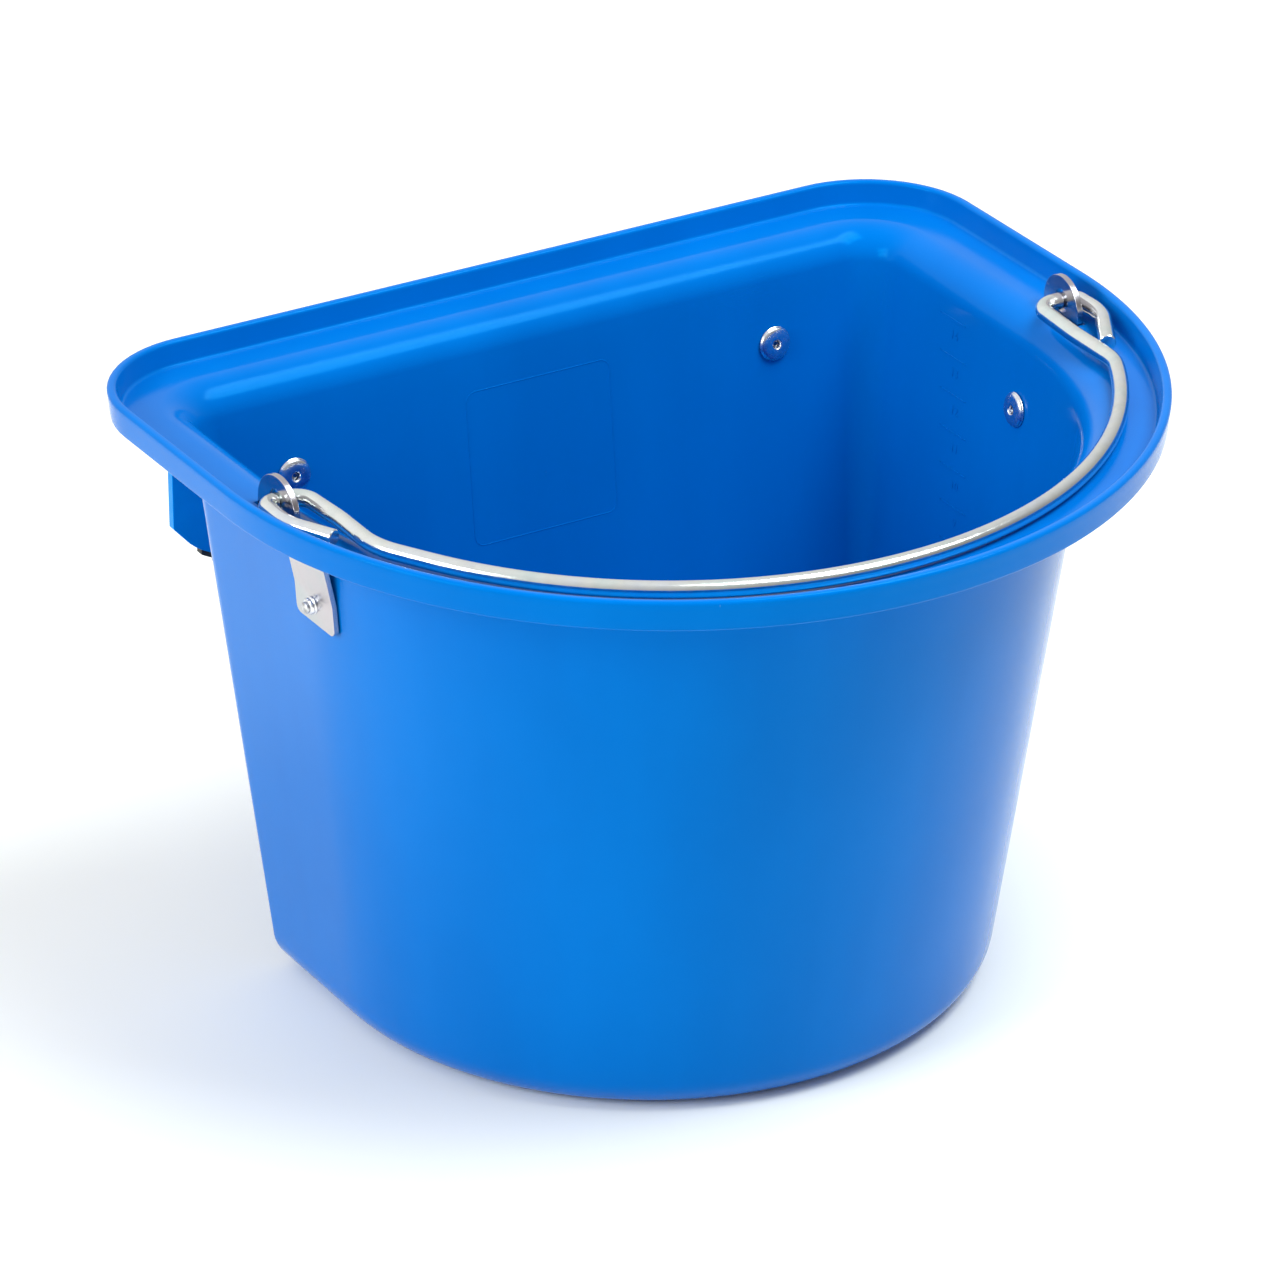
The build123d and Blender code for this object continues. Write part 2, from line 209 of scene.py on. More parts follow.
def quarter(steps=ROUND_STEPS):
    """Angles of a quarter round, from 0 to a right angle."""
    return [math.pi / 2 * i / steps for i in range(steps + 1)]


def spread(start, end, count):
    """Evenly spaced values strictly between start and end."""
    return [start + (end - start) * (i + 1) / (count + 1) for i in range(count)]


# ---------------------------------------------------------------- mesh helpers


def object_from(name, vertices, faces):
    """A new smooth-shaded mesh object in the scene."""
    mesh = bpy.data.meshes.new(name)
    mesh.from_pydata([tuple(v) for v in vertices], [], faces)
    mesh.validate()
    mesh.shade_smooth()
    made = bpy.data.objects.new(name, mesh)
    bpy.context.scene.collection.objects.link(made)
    return made


def skin(name, rings, closed_ends=True):
    """A closed surface through rings of equal length, with a fan over each end."""
    width = len(rings[0])
    vertices = [p for ring in rings for p in ring]
    faces = []
    for row in range(len(rings) - 1):
        for i in range(width):
            j = (i + 1) % width
            low, high = row * width, (row + 1) * width
            faces.append((low + i, low + j, high + j, high + i))
    if closed_ends:
        last = (len(rings) - 1) * width
        first_middle, last_middle = len(vertices), len(vertices) + 1
        vertices.append(sum(rings[0], Vector()) / width)
        vertices.append(sum(rings[-1], Vector()) / width)
        for i in range(width):
            j = (i + 1) % width
            faces.append((first_middle, j, i))
            faces.append((last + i, last + j, last_middle))
    return object_from(name, vertices, faces)


def sharpen(made, degrees):
    """Keeps edges that turn more than this angle crisp, and the rest smooth."""
    made.data.set_sharp_from_angle(angle=math.radians(degrees))


def apply_modifiers(made):
    """Swaps an object's mesh for the one that its modifiers give."""
    bpy.context.view_layer.update()
    evaluated = made.evaluated_get(bpy.context.evaluated_depsgraph_get())
    mesh = bpy.data.meshes.new_from_object(evaluated)
    made.modifiers.clear()
    made.data = mesh


def bevelled_copy(node, name, width, sharp_angle=35):
    """A copy of a CAD node with merged flat faces and a small round along each sharp edge."""
    source = frame["nodes"][node].data
    grid = bmesh.new()
    grid.from_mesh(source)
    bmesh.ops.remove_doubles(grid, verts=grid.verts, dist=0.01 * MM)
    limit = math.radians(1.0)
    bmesh.ops.dissolve_limit(grid, angle_limit=limit, verts=grid.verts, edges=grid.edges)
    mesh = bpy.data.meshes.new(name)
    grid.to_mesh(mesh)
    grid.free()
    made = bpy.data.objects.new(name, mesh)
    bpy.context.scene.collection.objects.link(made)
    bevel = made.modifiers.new("edges", "BEVEL")
    bevel.width = width
    bevel.segments = 3
    bevel.limit_method = "ANGLE"
    bevel.angle_limit = math.radians(sharp_angle)
    bevel.harden_normals = False
    apply_modifiers(made)
    made.data.shade_smooth()
    sharpen(made, sharp_angle)
    weighted = made.modifiers.new("normals", "WEIGHTED_NORMAL")
    weighted.keep_sharp = True
    apply_modifiers(made)
    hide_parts(node)
    return made


def lathe(name, profile, place, facets=72, flute=None):
    """Turns a profile of (radius, height) points about the place's Z axis."""
    rings = []
    for radius, height in profile:
        ring = []
        for i in range(facets):
            angle = 2 * math.pi * i / facets
            r = radius * (flute(angle, height) if flute else 1)
            ring.append(place @ Vector((r * math.cos(angle), r * math.sin(angle), height)))
        rings.append(ring)
    return skin(name, rings)


def tube(name, path, normal, radius, chamfer, facets):
    """A round wire along a flat path, with a small chamfer at both ends."""
    path = [p.copy() for p in path]
    count = len(path)
    rings = []
    for i, point in enumerate(path):
        tangent = (path[min(i + 1, count - 1)] - path[max(i - 1, 0)]).normalized()
        aside = tangent.cross(normal)
        sizes = [(0, radius)]
        if i == 0:
            sizes = [(0, radius - chamfer), (chamfer, radius)]
        if i == count - 1:
            sizes = [(-chamfer, radius), (0, radius - chamfer)]
        for shift, size in sizes:
            centre = point + tangent * shift
            ring = []
            for k in range(facets):
                angle = -2 * math.pi * k / facets
                ring.append(centre + size * (math.cos(angle) * aside + math.sin(angle) * normal))
            rings.append(ring)
    return skin(name, rings)


def rounded_path(corners, radii, step=math.radians(4)):
    """Points along straight runs whose inner corners are rounded with these radii."""
    points = [corners[0]]
    for before, corner, after, radius in zip(corners, corners[1:], corners[2:], radii):
        inwards = (before - corner).normalized()
        onwards = (after - corner).normalized()
        half = inwards.angle(onwards) / 2
        centre = corner + (inwards + onwards).normalized() * radius / math.sin(half)
        start = corner + inwards * radius / math.tan(half) - centre
        end = corner + onwards * radius / math.tan(half) - centre
        turn = start.angle_signed(end)
        steps = max(2, math.ceil(abs(turn) / step))
        for i in range(steps + 1):
            spin = Matrix.Rotation(-turn * i / steps, 2)
            points.append(centre + spin @ start)
    return points + [corners[-1]]


# ---------------------------------------------------------------- bucket


def outer_rings():
    """Rings from the middle of the underside, up the outside, to the top of the lip."""
    recess_edge = BASE_RADIUS + 10 * MM
    rings = [shrunk(wall_ring(recess_edge + 2 * MM, 0), share) for share in (0.3, 0.65, 1)]
    for ring in rings:
        for point in ring:
            point.z = BASE_RECESS
    rings += [wall_ring(recess_edge + 1.5 * MM, BASE_RECESS), wall_ring(recess_edge, 0)]
    rings += [wall_ring(BASE_RADIUS + SUPPORT, 0)]
    for t in quarter():
        rings.append(wall_ring(BASE_RADIUS * (1 - math.sin(t)), BASE_RADIUS * (1 - math.cos(t))))
    flare = MOUTH_RADIUS - WALL
    for z in spread(BASE_RADIUS, RIM_BOTTOM - flare, WALL_ROWS):
        rings.append(wall_ring(0, z))
    for t in quarter():
        rings.append(wall_ring(-flare * (1 - math.cos(t)), RIM_BOTTOM - flare * (1 - math.sin(t))))
    rings.append(wall_ring(-flare - SUPPORT, RIM_BOTTOM))
    edge = LIP_DRAFT + BAND_EDGE_RADIUS
    rings.append(lip_ring(edge + SUPPORT, RIM_BOTTOM))
    for t in quarter(5):
        inset = edge - BAND_EDGE_RADIUS * math.sin(t)
        rings.append(lip_ring(inset, RIM_BOTTOM + BAND_EDGE_RADIUS * (1 - math.cos(t))))
    for z in spread(RIM_BOTTOM + BAND_EDGE_RADIUS, LIP_TOP - LIP_EDGE_RADIUS, 3):
        rings.append(lip_ring(LIP_DRAFT * (LIP_TOP - z) / RIM_DEPTH, z))
    for t in quarter(6):
        inset = LIP_EDGE_RADIUS * (1 - math.cos(t))
        rings.append(lip_ring(inset, LIP_TOP - LIP_EDGE_RADIUS * (1 - math.sin(t))))
    return rings


def inner_rings():
    """Rings from the top of the lip, over the ledge and down the inside, to the floor's middle."""
    rings = []
    for t in reversed(quarter(6)):
        inset = LIP_TOP_THICKNESS - LIP_EDGE_RADIUS * (1 - math.cos(t))
        rings.append(lip_ring(inset, LIP_TOP - LIP_EDGE_RADIUS * (1 - math.sin(t))))
    for t in reversed(quarter(6)):
        inset = LIP_FOOT_THICKNESS + LIP_FOOT_RADIUS * (1 - math.sin(t))
        rings.append(lip_ring(inset, LEDGE_Z + LIP_FOOT_RADIUS * (1 - math.cos(t))))
    rings.append(lip_ring(LIP_FOOT_THICKNESS + LIP_FOOT_RADIUS + SUPPORT, LEDGE_Z))
    rings.append(wall_ring(WALL - MOUTH_RADIUS - SUPPORT, LEDGE_Z))
    for t in reversed(quarter(14)):
        inset = WALL - MOUTH_RADIUS * (1 - math.cos(t))
        rings.append(wall_ring(inset, LEDGE_Z - MOUTH_RADIUS * (1 - math.sin(t))))
    inner_round = BASE_RADIUS - WALL
    for z in spread(LEDGE_Z - MOUTH_RADIUS, FLOOR + inner_round, WALL_ROWS):
        rings.append(wall_ring(WALL, z))
    for t in reversed(quarter()):
        inset = WALL + inner_round * (1 - math.sin(t))
        rings.append(wall_ring(inset, FLOOR + inner_round * (1 - math.cos(t))))
    rings.append(wall_ring(WALL + inner_round + SUPPORT, FLOOR))
    floor = wall_ring(WALL + inner_round + SUPPORT, FLOOR)
    return rings + [shrunk(floor, 0.6), shrunk(floor, 0.25)]


def slot_cutter():
    """Boxes for the two slots that the brackets come up through."""
    cutter = bmesh.new()
    for word, side in SIDES.items():
        low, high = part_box(f"bail_bracket_{word}")
        tab_x = high.x if side > 0 else low.x
        size = Matrix.Diagonal((SLOT_THICKNESS, high.y - low.y - SLOT_TRIM, 6 * RIM_DEPTH, 1))
        centre = (tab_x - side * SLOT_IN, HINGE.y + SLOT_BACK, LEDGE_Z)
        place = Matrix.Translation(centre) @ Matrix.Rotation(-side * BRACKET_TURN, 4, "Z") @ size
        bmesh.ops.create_cube(cutter, size=1, matrix=place)
    mesh = bpy.data.meshes.new("slot_cutter")
    cutter.to_mesh(mesh)
    cutter.free()
    made = bpy.data.objects.new("slot_cutter", mesh)
    bpy.context.scene.collection.objects.link(made)
    return made


def make_bucket(material):
    """The moulded tub, as one thin closed skin with its two slots."""
    shell = skin("bucket_tub", outer_rings() + inner_rings())
    cutter = slot_cutter()
    cut = shell.modifiers.new("slots", "BOOLEAN")
    cut.operation = "DIFFERENCE"
    cut.object = cutter
    cut.solver = "EXACT"
    apply_modifiers(shell)
    bpy.data.objects.remove(cutter)
    sharpen(shell, 40)
    finish_piece(shell, "bucket", material)
    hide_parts("bucket_shell")


def finish_piece(made, body, material):
    """Gives a piece its material and the body that it rides on."""
    made.data.materials.clear()
    made.data.materials.append(material)
    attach(made, body)


# ---------------------------------------------------------------- raised marks


def ridge(name, line, across, outwards, height=MARK_HEIGHT, closed=False):
    """A low ridge along a line that lies on a surface: its sides slope up to a narrow top."""
    profile = [(-0.5, -0.2), (-0.28, 1), (0.28, 1), (0.5, -0.2)]
    rings = []
    for point, side in zip(line, across):
        ring = [point + side * MARK_WIDTH * u + outwards * height * h for u, h in profile]
        rings.append(ring)
    if closed:
        rings.append(rings[0])
    return skin(name, rings, closed_ends=not closed)


def inner_side_point(y, z):
    """A point on the right side's inner face."""
    half_width = wall_size("half_width", z) - WALL
    behind = y - wall_size("centre_y", z)
    x = math.sqrt(half_width**2 - min(behind, 0) ** 2)
    return Vector((x, y, z))


def make_litre_marks(material):
    """Seven raised level lines on the right inner side, with a small numeral under each."""
    outwards = Vector((-1, 0, math.tan(SIDE_TILT))).normalized()
    made = []
    for i in range(MARK_COUNT):
        z = TOP_MARK_Z - i * LITRE_SPACING
        back_y = TOP_MARK_BACK - MARK_STEP_FORWARD * i
        ys = [back_y - MARK_LENGTH * k / (MARK_POINTS - 1) for k in range(MARK_POINTS)]
        line = [inner_side_point(y, z) for y in ys]
        across = [Vector((0, 0, 1))] * len(line)
        made.append(ridge(f"litre_line_{TOP_MARK_LITRES - i}", line, across, outwards))
        made.append(make_numeral(TOP_MARK_LITRES - i, back_y - NUMERAL_FORWARD, z - NUMERAL_DROP))
    marks = joined("litre_marks", made)
    finish_piece(marks, "bucket", material)


def make_numeral(number, y, z):
    """A small raised number on the right inner side, read from inside the bucket."""
    curve = bpy.data.curves.new(f"numeral_{number}", "FONT")
    curve.body = str(number)
    curve.size = NUMERAL_SIZE
    curve.extrude = MARK_HEIGHT
    curve.align_x = "CENTER"
    curve.align_y = "CENTER"
    text = bpy.data.objects.new(f"numeral_{number}", curve)
    bpy.context.scene.collection.objects.link(text)
    bpy.context.view_layer.update()
    mesh = bpy.data.meshes.new_from_object(text)
    bpy.data.objects.remove(text)
    reading = Vector((0, -1, 0))
    upwards = Vector((math.sin(SIDE_TILT), 0, math.cos(SIDE_TILT)))
    facing = reading.cross(upwards)
    turn = Matrix((reading, upwards, facing)).transposed().to_4x4()
    mesh.transform(Matrix.Translation(inner_side_point(y, z)) @ turn)
    made = bpy.data.objects.new(f"numeral_{number}", mesh)
    bpy.context.scene.collection.objects.link(made)
    return made


def joined(name, parts):
    """One object that holds the meshes of several."""
    whole = bmesh.new()
    for part in parts:
        whole.from_mesh(part.data)
        bpy.data.objects.remove(part)
    mesh = bpy.data.meshes.new(name)
    whole.to_mesh(mesh)
    whole.free()
    made = bpy.data.objects.new(name, mesh)
    bpy.context.scene.collection.objects.link(made)
    return made


def make_back_panel(material):
    """A plain raised outline with round corners on the back's inner face."""
    half = Vector(FRAME_SIZE) / 2
    tilt = math.tan(BACK_TILT)
    line = []
    across = []
    for turn in range(4):
        sx, sz = ((1, 1), (-1, 1), (-1, -1), (1, -1))[turn]
        for t in quarter(8):
            angle = t + turn * math.pi / 2
            x = FRAME_CENTRE[0] + sx * (half.x - FRAME_CORNER) + FRAME_CORNER * math.cos(angle)
            z = FRAME_CENTRE[1] + sz * (half.y - FRAME_CORNER) + FRAME_CORNER * math.sin(angle)
            line.append(Vector((x, wall_size("back_y", z) - WALL, z)))
            aside = Vector((math.cos(angle), tilt * math.sin(angle), math.sin(angle)))
            across.append(aside.normalized())
    outwards = Vector((0, -1, tilt)).normalized()
    panel = ridge("back_panel_outline", line, across, outwards, FRAME_HEIGHT, closed=True)
    finish_piece(panel, "bucket", material)


# ---------------------------------------------------------------- metal


def bow_points(left, right):
    """The centre and the points of the arc through both bow ends and the bow's front."""
    front = Vector((0, BOW_FRONT_Y))
    a, b, c = left, front, right
    d = 2 * (a.x * (b.y - c.y) + b.x * (c.y - a.y) + c.x * (a.y - b.y))
    squares = [p.length_squared for p in (a, b, c)]
    x = (squares[0] * (b.y - c.y) + squares[1] * (c.y - a.y) + squares[2] * (a.y - b.y)) / d
    y = (squares[0] * (c.x - b.x) + squares[1] * (a.x - c.x) + squares[2] * (b.x - a.x)) / d
    centre = Vector((x, y))
    radius = (front - centre).length
    start = math.atan2(left.y - y, left.x - x)
    end = math.atan2(right.y - y, right.x - x)
    if start > 0:
        start -= 2 * math.pi
    angles = [start + (end - start) * i / BOW_STEPS for i in range(BOW_STEPS + 1)]
    return centre, [centre + radius * Vector((math.cos(t), math.sin(t))) for t in angles]


def bail_half(word, centre):
    """One end of the bail, from the bow to the end of the tail."""
    side = SIDES[word]
    sizes = BAIL_ENDS[word]
    bow_end = Vector((side * sizes["bow_end"][0], sizes["bow_end"][1])) * MM
    spoke = bow_end - centre
    along = Vector((-spoke.y, spoke.x)) * side
    reach = (side * sizes["leg"][0][0] * MM - bow_end.x) / along.x
    corners = [bow_end, bow_end + along * reach]
    hinge_y = HINGE.y / MM
    others = [sizes["leg"][1], (sizes["leg_top"], hinge_y), (sizes["outer_leg"], hinge_y)]
    others += sizes["tail"]
    corners += [Vector((side * x, y)) * MM for x, y in others]
    radii = [r * MM for r in sizes["leg_bends"]] + EYE_BENDS + [TAIL_BEND]
    return rounded_path(corners, radii)


def make_bail(material):
    """The bent wire, resting on the ledge."""
    ends = [Vector((SIDES[w] * s["bow_end"][0], s["bow_end"][1])) * MM for w, s in BAIL_ENDS.items()]
    centre, bow = bow_points(*ends)
    left = bail_half("left", centre)
    right = bail_half("right", centre)
    flat = list(reversed(left))[:-1] + bow + right[1:]
    drop = HINGE.z - (LEDGE_Z + WIRE_RADIUS + BAIL_GAP)
    tilt = math.asin(drop / (HINGE.y - BOW_FRONT_Y))
    path = []
    for p in flat:
        arm = p.y - HINGE.y
        path.append(Vector((p.x, HINGE.y + arm * math.cos(tilt), HINGE.z + arm * math.sin(tilt))))
    normal = Vector((0, -math.sin(tilt), math.cos(tilt)))
    bail = tube("bail_wire", path, normal, WIRE_RADIUS, WIRE_CHAMFER, WIRE_FACETS)
    sharpen(bail, 30)
    finish_piece(bail, "bail", material)
    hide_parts("bail_handle")


def rivet_places():
    """Each rivet's name, its place on the wall's inner face and its axis into the bucket."""
    places = []
    for word, side in SIDES.items():
        low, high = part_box(f"bracket_rivet_{word}")
        inner_x = low.x if side > 0 else high.x
        axis = Vector((-side * math.cos(BRACKET_TURN), math.sin(BRACKET_TURN), math.tan(SIDE_TILT)))
        axis.normalize()
        crown = Vector((inner_x, (low.y + high.y) / 2, (low.z + high.z) / 2))
        places.append((f"bracket_rivet_{word}", crown - axis * FLANGE_HEIGHT, axis))
        low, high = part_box(f"hook_rivet_{word}")
        axis = Vector((0, -math.cos(BACK_TILT), math.sin(BACK_TILT)))
        crown = Vector(((low.x + high.x) / 2, low.y, (low.z + high.z) / 2))
        places.append((f"hook_rivet_{word}", crown - axis * FLANGE_HEIGHT, axis))
    return places


def frame_along(origin, axis):
    """A matrix at origin whose Z axis points along axis."""
    return Matrix.Translation(origin) @ axis.to_track_quat("Z", "X").to_matrix().to_4x4()


def make_rivet(node, origin, axis, body_material, stem_material):
    """The inside of a blind rivet: domed flange with its hollow mouth, and the pulled stem in it."""
    place = frame_along(origin, axis)
    crown = FLANGE_HEIGHT
    dome_edge = FLANGE_RADIUS - 0.35 * MM
    dome_width = FLANGE_RADIUS - RIVET_MOUTH - 1.1 * MM
    dome = []
    for t in quarter(10):
        height = FLANGE_EDGE + (crown - FLANGE_EDGE) * math.sin(t)
        dome.append((dome_edge - dome_width * (1 - math.cos(t)), height))
    profile = [
        (2.2 * MM, -2.6 * MM),
        (2.4 * MM, -0.1 * MM),
        (FLANGE_RADIUS - 0.3 * MM, 0.0),
        (FLANGE_RADIUS, 0.25 * MM),
        (FLANGE_RADIUS, 0.5 * MM),
    ]
    profile += dome
    profile += [
        (RIVET_MOUTH + 0.25 * MM, crown - 0.05 * MM),
        (RIVET_MOUTH, crown - 0.35 * MM),
        (RIVET_MOUTH - 0.25 * MM, crown - 1.0 * MM),
        (RIVET_MOUTH - 0.35 * MM, crown - 2.6 * MM),
    ]
    flange = lathe(f"{node}_flange", profile, place)
    sharpen(flange, 50)
    finish_piece(flange, "bucket", body_material)
    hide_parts(node)

    stem = [
        (STEM_RADIUS, crown - 3.4 * MM),
        (STEM_RADIUS, crown - 1.6 * MM),
        (STEM_RADIUS - 0.2 * MM, crown - 1.4 * MM),
        (0.95 * MM, crown - 1.5 * MM),
        (0.8 * MM, crown - 2.6 * MM),
    ]
    pulled = lathe(f"{node}_stem", stem, place, facets=40)
    sharpen(pulled, 40)
    finish_piece(pulled, "bucket", stem_material)
    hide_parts(node.replace("_rivet_", "_rivet_mandrel_"))
    return place


def make_blind_end(node, place, grip, body_material, stem_material):
    """The blind end on the outside: a collar, a slit bulb and the rounded head of the stem."""
    outside = place @ Matrix.Translation((0, 0, -WALL - grip)) @ Matrix.Rotation(math.pi, 4, "X")

    def slits(angle, height):
        """The share of its radius that a point of the bulb keeps: less in the three slits."""
        depth = SLIT_DEPTH if SLIT_HEIGHTS[0] < height < SLIT_HEIGHTS[1] else 0.0
        return 1 - depth * max(0, math.cos(3 * angle + SLIT_TURN)) ** SLIT_SHARPNESS

    bulb = [
        (2.2 * MM, -0.3 * MM),
        (3.2 * MM, 0.0),
        (3.75 * MM, 0.25 * MM),
        (3.8 * MM, 0.6 * MM),
        (3.45 * MM, 0.85 * MM),
        (3.35 * MM, 1.0 * MM),
        (3.5 * MM, 1.3 * MM),
        (3.45 * MM, 1.8 * MM),
        (3.1 * MM, 2.3 * MM),
        (2.5 * MM, 2.65 * MM),
        (1.6 * MM, 2.7 * MM),
    ]
    body = lathe(f"{node}_bulb", bulb, outside, facets=96, flute=slits)
    sharpen(body, 50)
    finish_piece(body, "bucket", body_material)
    head = [
        (1.5 * MM, 2.2 * MM),
        (2.2 * MM, 2.75 * MM),
        (2.45 * MM, 3.1 * MM),
        (2.35 * MM, 3.55 * MM),
        (1.95 * MM, 3.95 * MM),
        (1.3 * MM, 4.2 * MM),
        (0.6 * MM, 4.3 * MM),
    ]
    ball = lathe(f"{node}_head", head, outside, facets=48)
    finish_piece(ball, "bucket", stem_material)


# ---------------------------------------------------------------- materials


class Shader:
    """A material's node tree, with short names for the nodes used here."""

    def __init__(self, name):
        self.material = bpy.data.materials.new(name)
        self.material.use_nodes = True
        self.tree = self.material.node_tree
        self.surface = self.tree.nodes["Principled BSDF"]
        self.place = self.tree.nodes.new("ShaderNodeTexCoord").outputs["Object"]

    def link(self, value, socket):
        self.tree.links.new(value, socket)

    def stretched(self, scale, turn=(0, 0, 0)):
        node = self.tree.nodes.new("ShaderNodeMapping")
        node.inputs["Rotation"].default_value = turn
        node.inputs["Scale"].default_value = scale
        self.link(self.place, node.inputs["Vector"])
        return node.outputs["Vector"]

    def noise(self, scale, detail=3.0, vector=None):
        node = self.tree.nodes.new("ShaderNodeTexNoise")
        node.inputs["Scale"].default_value = scale
        node.inputs["Detail"].default_value = detail
        self.link(vector or self.place, node.inputs["Vector"])
        return node.outputs["Fac"]

    def ramp(self, value, stops):
        node = self.tree.nodes.new("ShaderNodeValToRGB")
        elements = node.color_ramp.elements
        while len(elements) < len(stops):
            elements.new(0.5)
        for element, (position, colour) in zip(elements, stops):
            element.position = position
            element.color = (*colour, 1)
        self.link(value, node.inputs["Fac"])
        return node.outputs["Color"]

    def span(self, value, low, high, start=0.3, end=0.7):
        node = self.tree.nodes.new("ShaderNodeMapRange")
        node.inputs["From Min"].default_value = start
        node.inputs["From Max"].default_value = end
        node.inputs["To Min"].default_value = low
        node.inputs["To Max"].default_value = high
        self.link(value, node.inputs["Value"])
        return node.outputs["Result"]

    def mix(self, share, first, second):
        node = self.tree.nodes.new("ShaderNodeMix")
        node.data_type = "RGBA"
        self.link(share, node.inputs["Factor"])
        for value, socket in ((first, node.inputs["A"]), (second, node.inputs["B"])):
            if isinstance(value, tuple):
                socket.default_value = (*value, 1)
            else:
                self.link(value, socket)
        return node.outputs["Result"]

    def math(self, operation, first, second):
        node = self.tree.nodes.new("ShaderNodeMath")
        node.operation = operation
        for value, socket in zip((first, second), node.inputs):
            if isinstance(value, (int, float)):
                socket.default_value = value
            else:
                self.link(value, socket)
        return node.outputs["Value"]

    def bump(self, height, strength, distance):
        node = self.tree.nodes.new("ShaderNodeBump")
        node.inputs["Strength"].default_value = strength
        node.inputs["Distance"].default_value = distance
        self.link(height, node.inputs["Height"])
        self.link(node.outputs["Normal"], self.surface.inputs["Normal"])

    def set(self, **values):
        for name, value in values.items():
            self.surface.inputs[name.replace("_", " ")].default_value = value


def flecks(shader, scale, turn, size, rarity):
    """Scattered small marks: where the surface passes near the middle of a rare cell."""
    cells = shader.tree.nodes.new("ShaderNodeTexVoronoi")
    cells.inputs["Scale"].default_value = 1.0
    shader.link(shader.stretched(scale, turn), cells.inputs["Vector"])
    pick = shader.tree.nodes.new("ShaderNodeSeparateColor")
    shader.link(cells.outputs["Color"], pick.inputs["Color"])
    rare = shader.math("GREATER_THAN", pick.outputs["Red"], rarity)
    near = shader.span(cells.outputs["Distance"], 1.0, 0.0, size * 0.6, size)
    return shader.math("MULTIPLY", near, rare)


def blue_plastic():
    """Glossy moulded polypropylene: soft flow clouds, orange peel, faint scratches and specks."""
    s = Shader("blue_plastic")
    clouds = s.noise(7.0, 4.0)
    flow = s.noise(26.0, 3.0, s.stretched((1, 1, 0.12)))
    tone = s.math("ADD", s.math("MULTIPLY", clouds, 0.6), s.math("MULTIPLY", flow, 0.4))
    colour = s.ramp(tone, [(0.38, (0.0, 0.136, 0.51)), (0.62, (0.0, 0.154, 0.56))])
    specks = flecks(s, (75, 75, 75), (0, 0, 0), 0.022, 0.93)
    upright = flecks(s, (60, 60, 6), (0.1, 0.2, 0), 0.014, 0.8)
    slanted = flecks(s, (60, 60, 5), (0.9, 0.5, 0.3), 0.014, 0.8)
    marks = s.math("MAXIMUM", upright, slanted)
    worn = s.math("MAXIMUM", s.math("MULTIPLY", specks, 0.7), s.math("MULTIPLY", marks, 0.22))
    s.link(s.mix(worn, colour, (0.3, 0.55, 0.85)), s.surface.inputs["Base Color"])
    haze = s.span(s.noise(55.0, 4.0), 0.13, 0.19)
    s.link(s.math("ADD", haze, s.math("MULTIPLY", marks, 0.12)), s.surface.inputs["Roughness"])
    peel = s.math("MULTIPLY", s.noise(420.0, 2.0), 0.3)
    waves = s.noise(38.0, 1.0)
    dents = s.math("SUBTRACT", s.math("ADD", peel, waves), s.math("MULTIPLY", marks, 0.3))
    s.bump(dents, 0.1, 0.25 * MM)
    s.set(Specular_IOR_Level=0.19, Specular_Tint=(0.0, 0.55, 1.0, 1.0))
    return s.material


def hook_plastic():
    """The same blue plastic, painted lighter than the tub's as painted light on its shaded face,
    with a duller, lightly grained moulded face.
    """
    s = Shader("hook_plastic")
    tone = s.noise(30.0, 4.0)
    # Painted light: this blue is lighter than the tub's own plastic, to lift the hook's face that
    # sits in shade behind the tub.
    colour = s.ramp(tone, [(0.35, (0.0, 0.21, 0.66)), (0.65, (0.0, 0.235, 0.72))])
    s.link(colour, s.surface.inputs["Base Color"])
    s.link(s.span(s.noise(160.0, 4.0), 0.28, 0.4), s.surface.inputs["Roughness"])
    s.bump(s.noise(1500.0, 2.0), 0.12, 0.15 * MM)
    s.set(Specular_IOR_Level=0.22, Specular_Tint=(0.0, 0.55, 1.0, 1.0))
    return s.material


def zinc(name, tints, roughness, streak_scale, streak, grain):
    """Zinc plate: drifting yellow, green and pink tints, drawn streaks and a fine grain."""
    s = Shader(name)
    tint = s.ramp(s.noise(46.0, 3.0), tints)
    dull = s.span(s.noise(210.0, 5.0), 0.0, 1.0, 0.42, 0.75)
    colour = s.mix(s.math("MULTIPLY", dull, 0.2), tint, (0.52, 0.55, 0.55))
    s.link(colour, s.surface.inputs["Base Color"])
    lines = s.noise(streak_scale, 3.0, s.stretched(streak))
    low, high = roughness
    s.link(s.span(lines, low, high), s.surface.inputs["Roughness"])
    height = s.math("ADD", s.math("MULTIPLY", lines, 0.6), s.noise(900.0, 3.0))
    s.bump(height, grain, 0.12 * MM)
    s.set(Metallic=1.0)
    return s.material


def wire_zinc():
    """The bail's bright zinc plate."""
    tints = [(0.3, (0.78, 0.87, 0.84)), (0.5, (0.86, 0.87, 0.82)), (0.7, (0.81, 0.84, 0.88))]
    return zinc("zinc_wire", tints, (0.12, 0.21), 240.0, (1, 1, 1), 0.035)


def strap_zinc():
    """The brackets' zinc plate, darker and drawn along the strap."""
    tints = [(0.3, (0.48, 0.50, 0.52)), (0.5, (0.54, 0.50, 0.53)), (0.7, (0.55, 0.49, 0.52))]
    return zinc("zinc_strap", tints, (0.17, 0.27), 320.0, (1, 1, 0.06), 0.03)


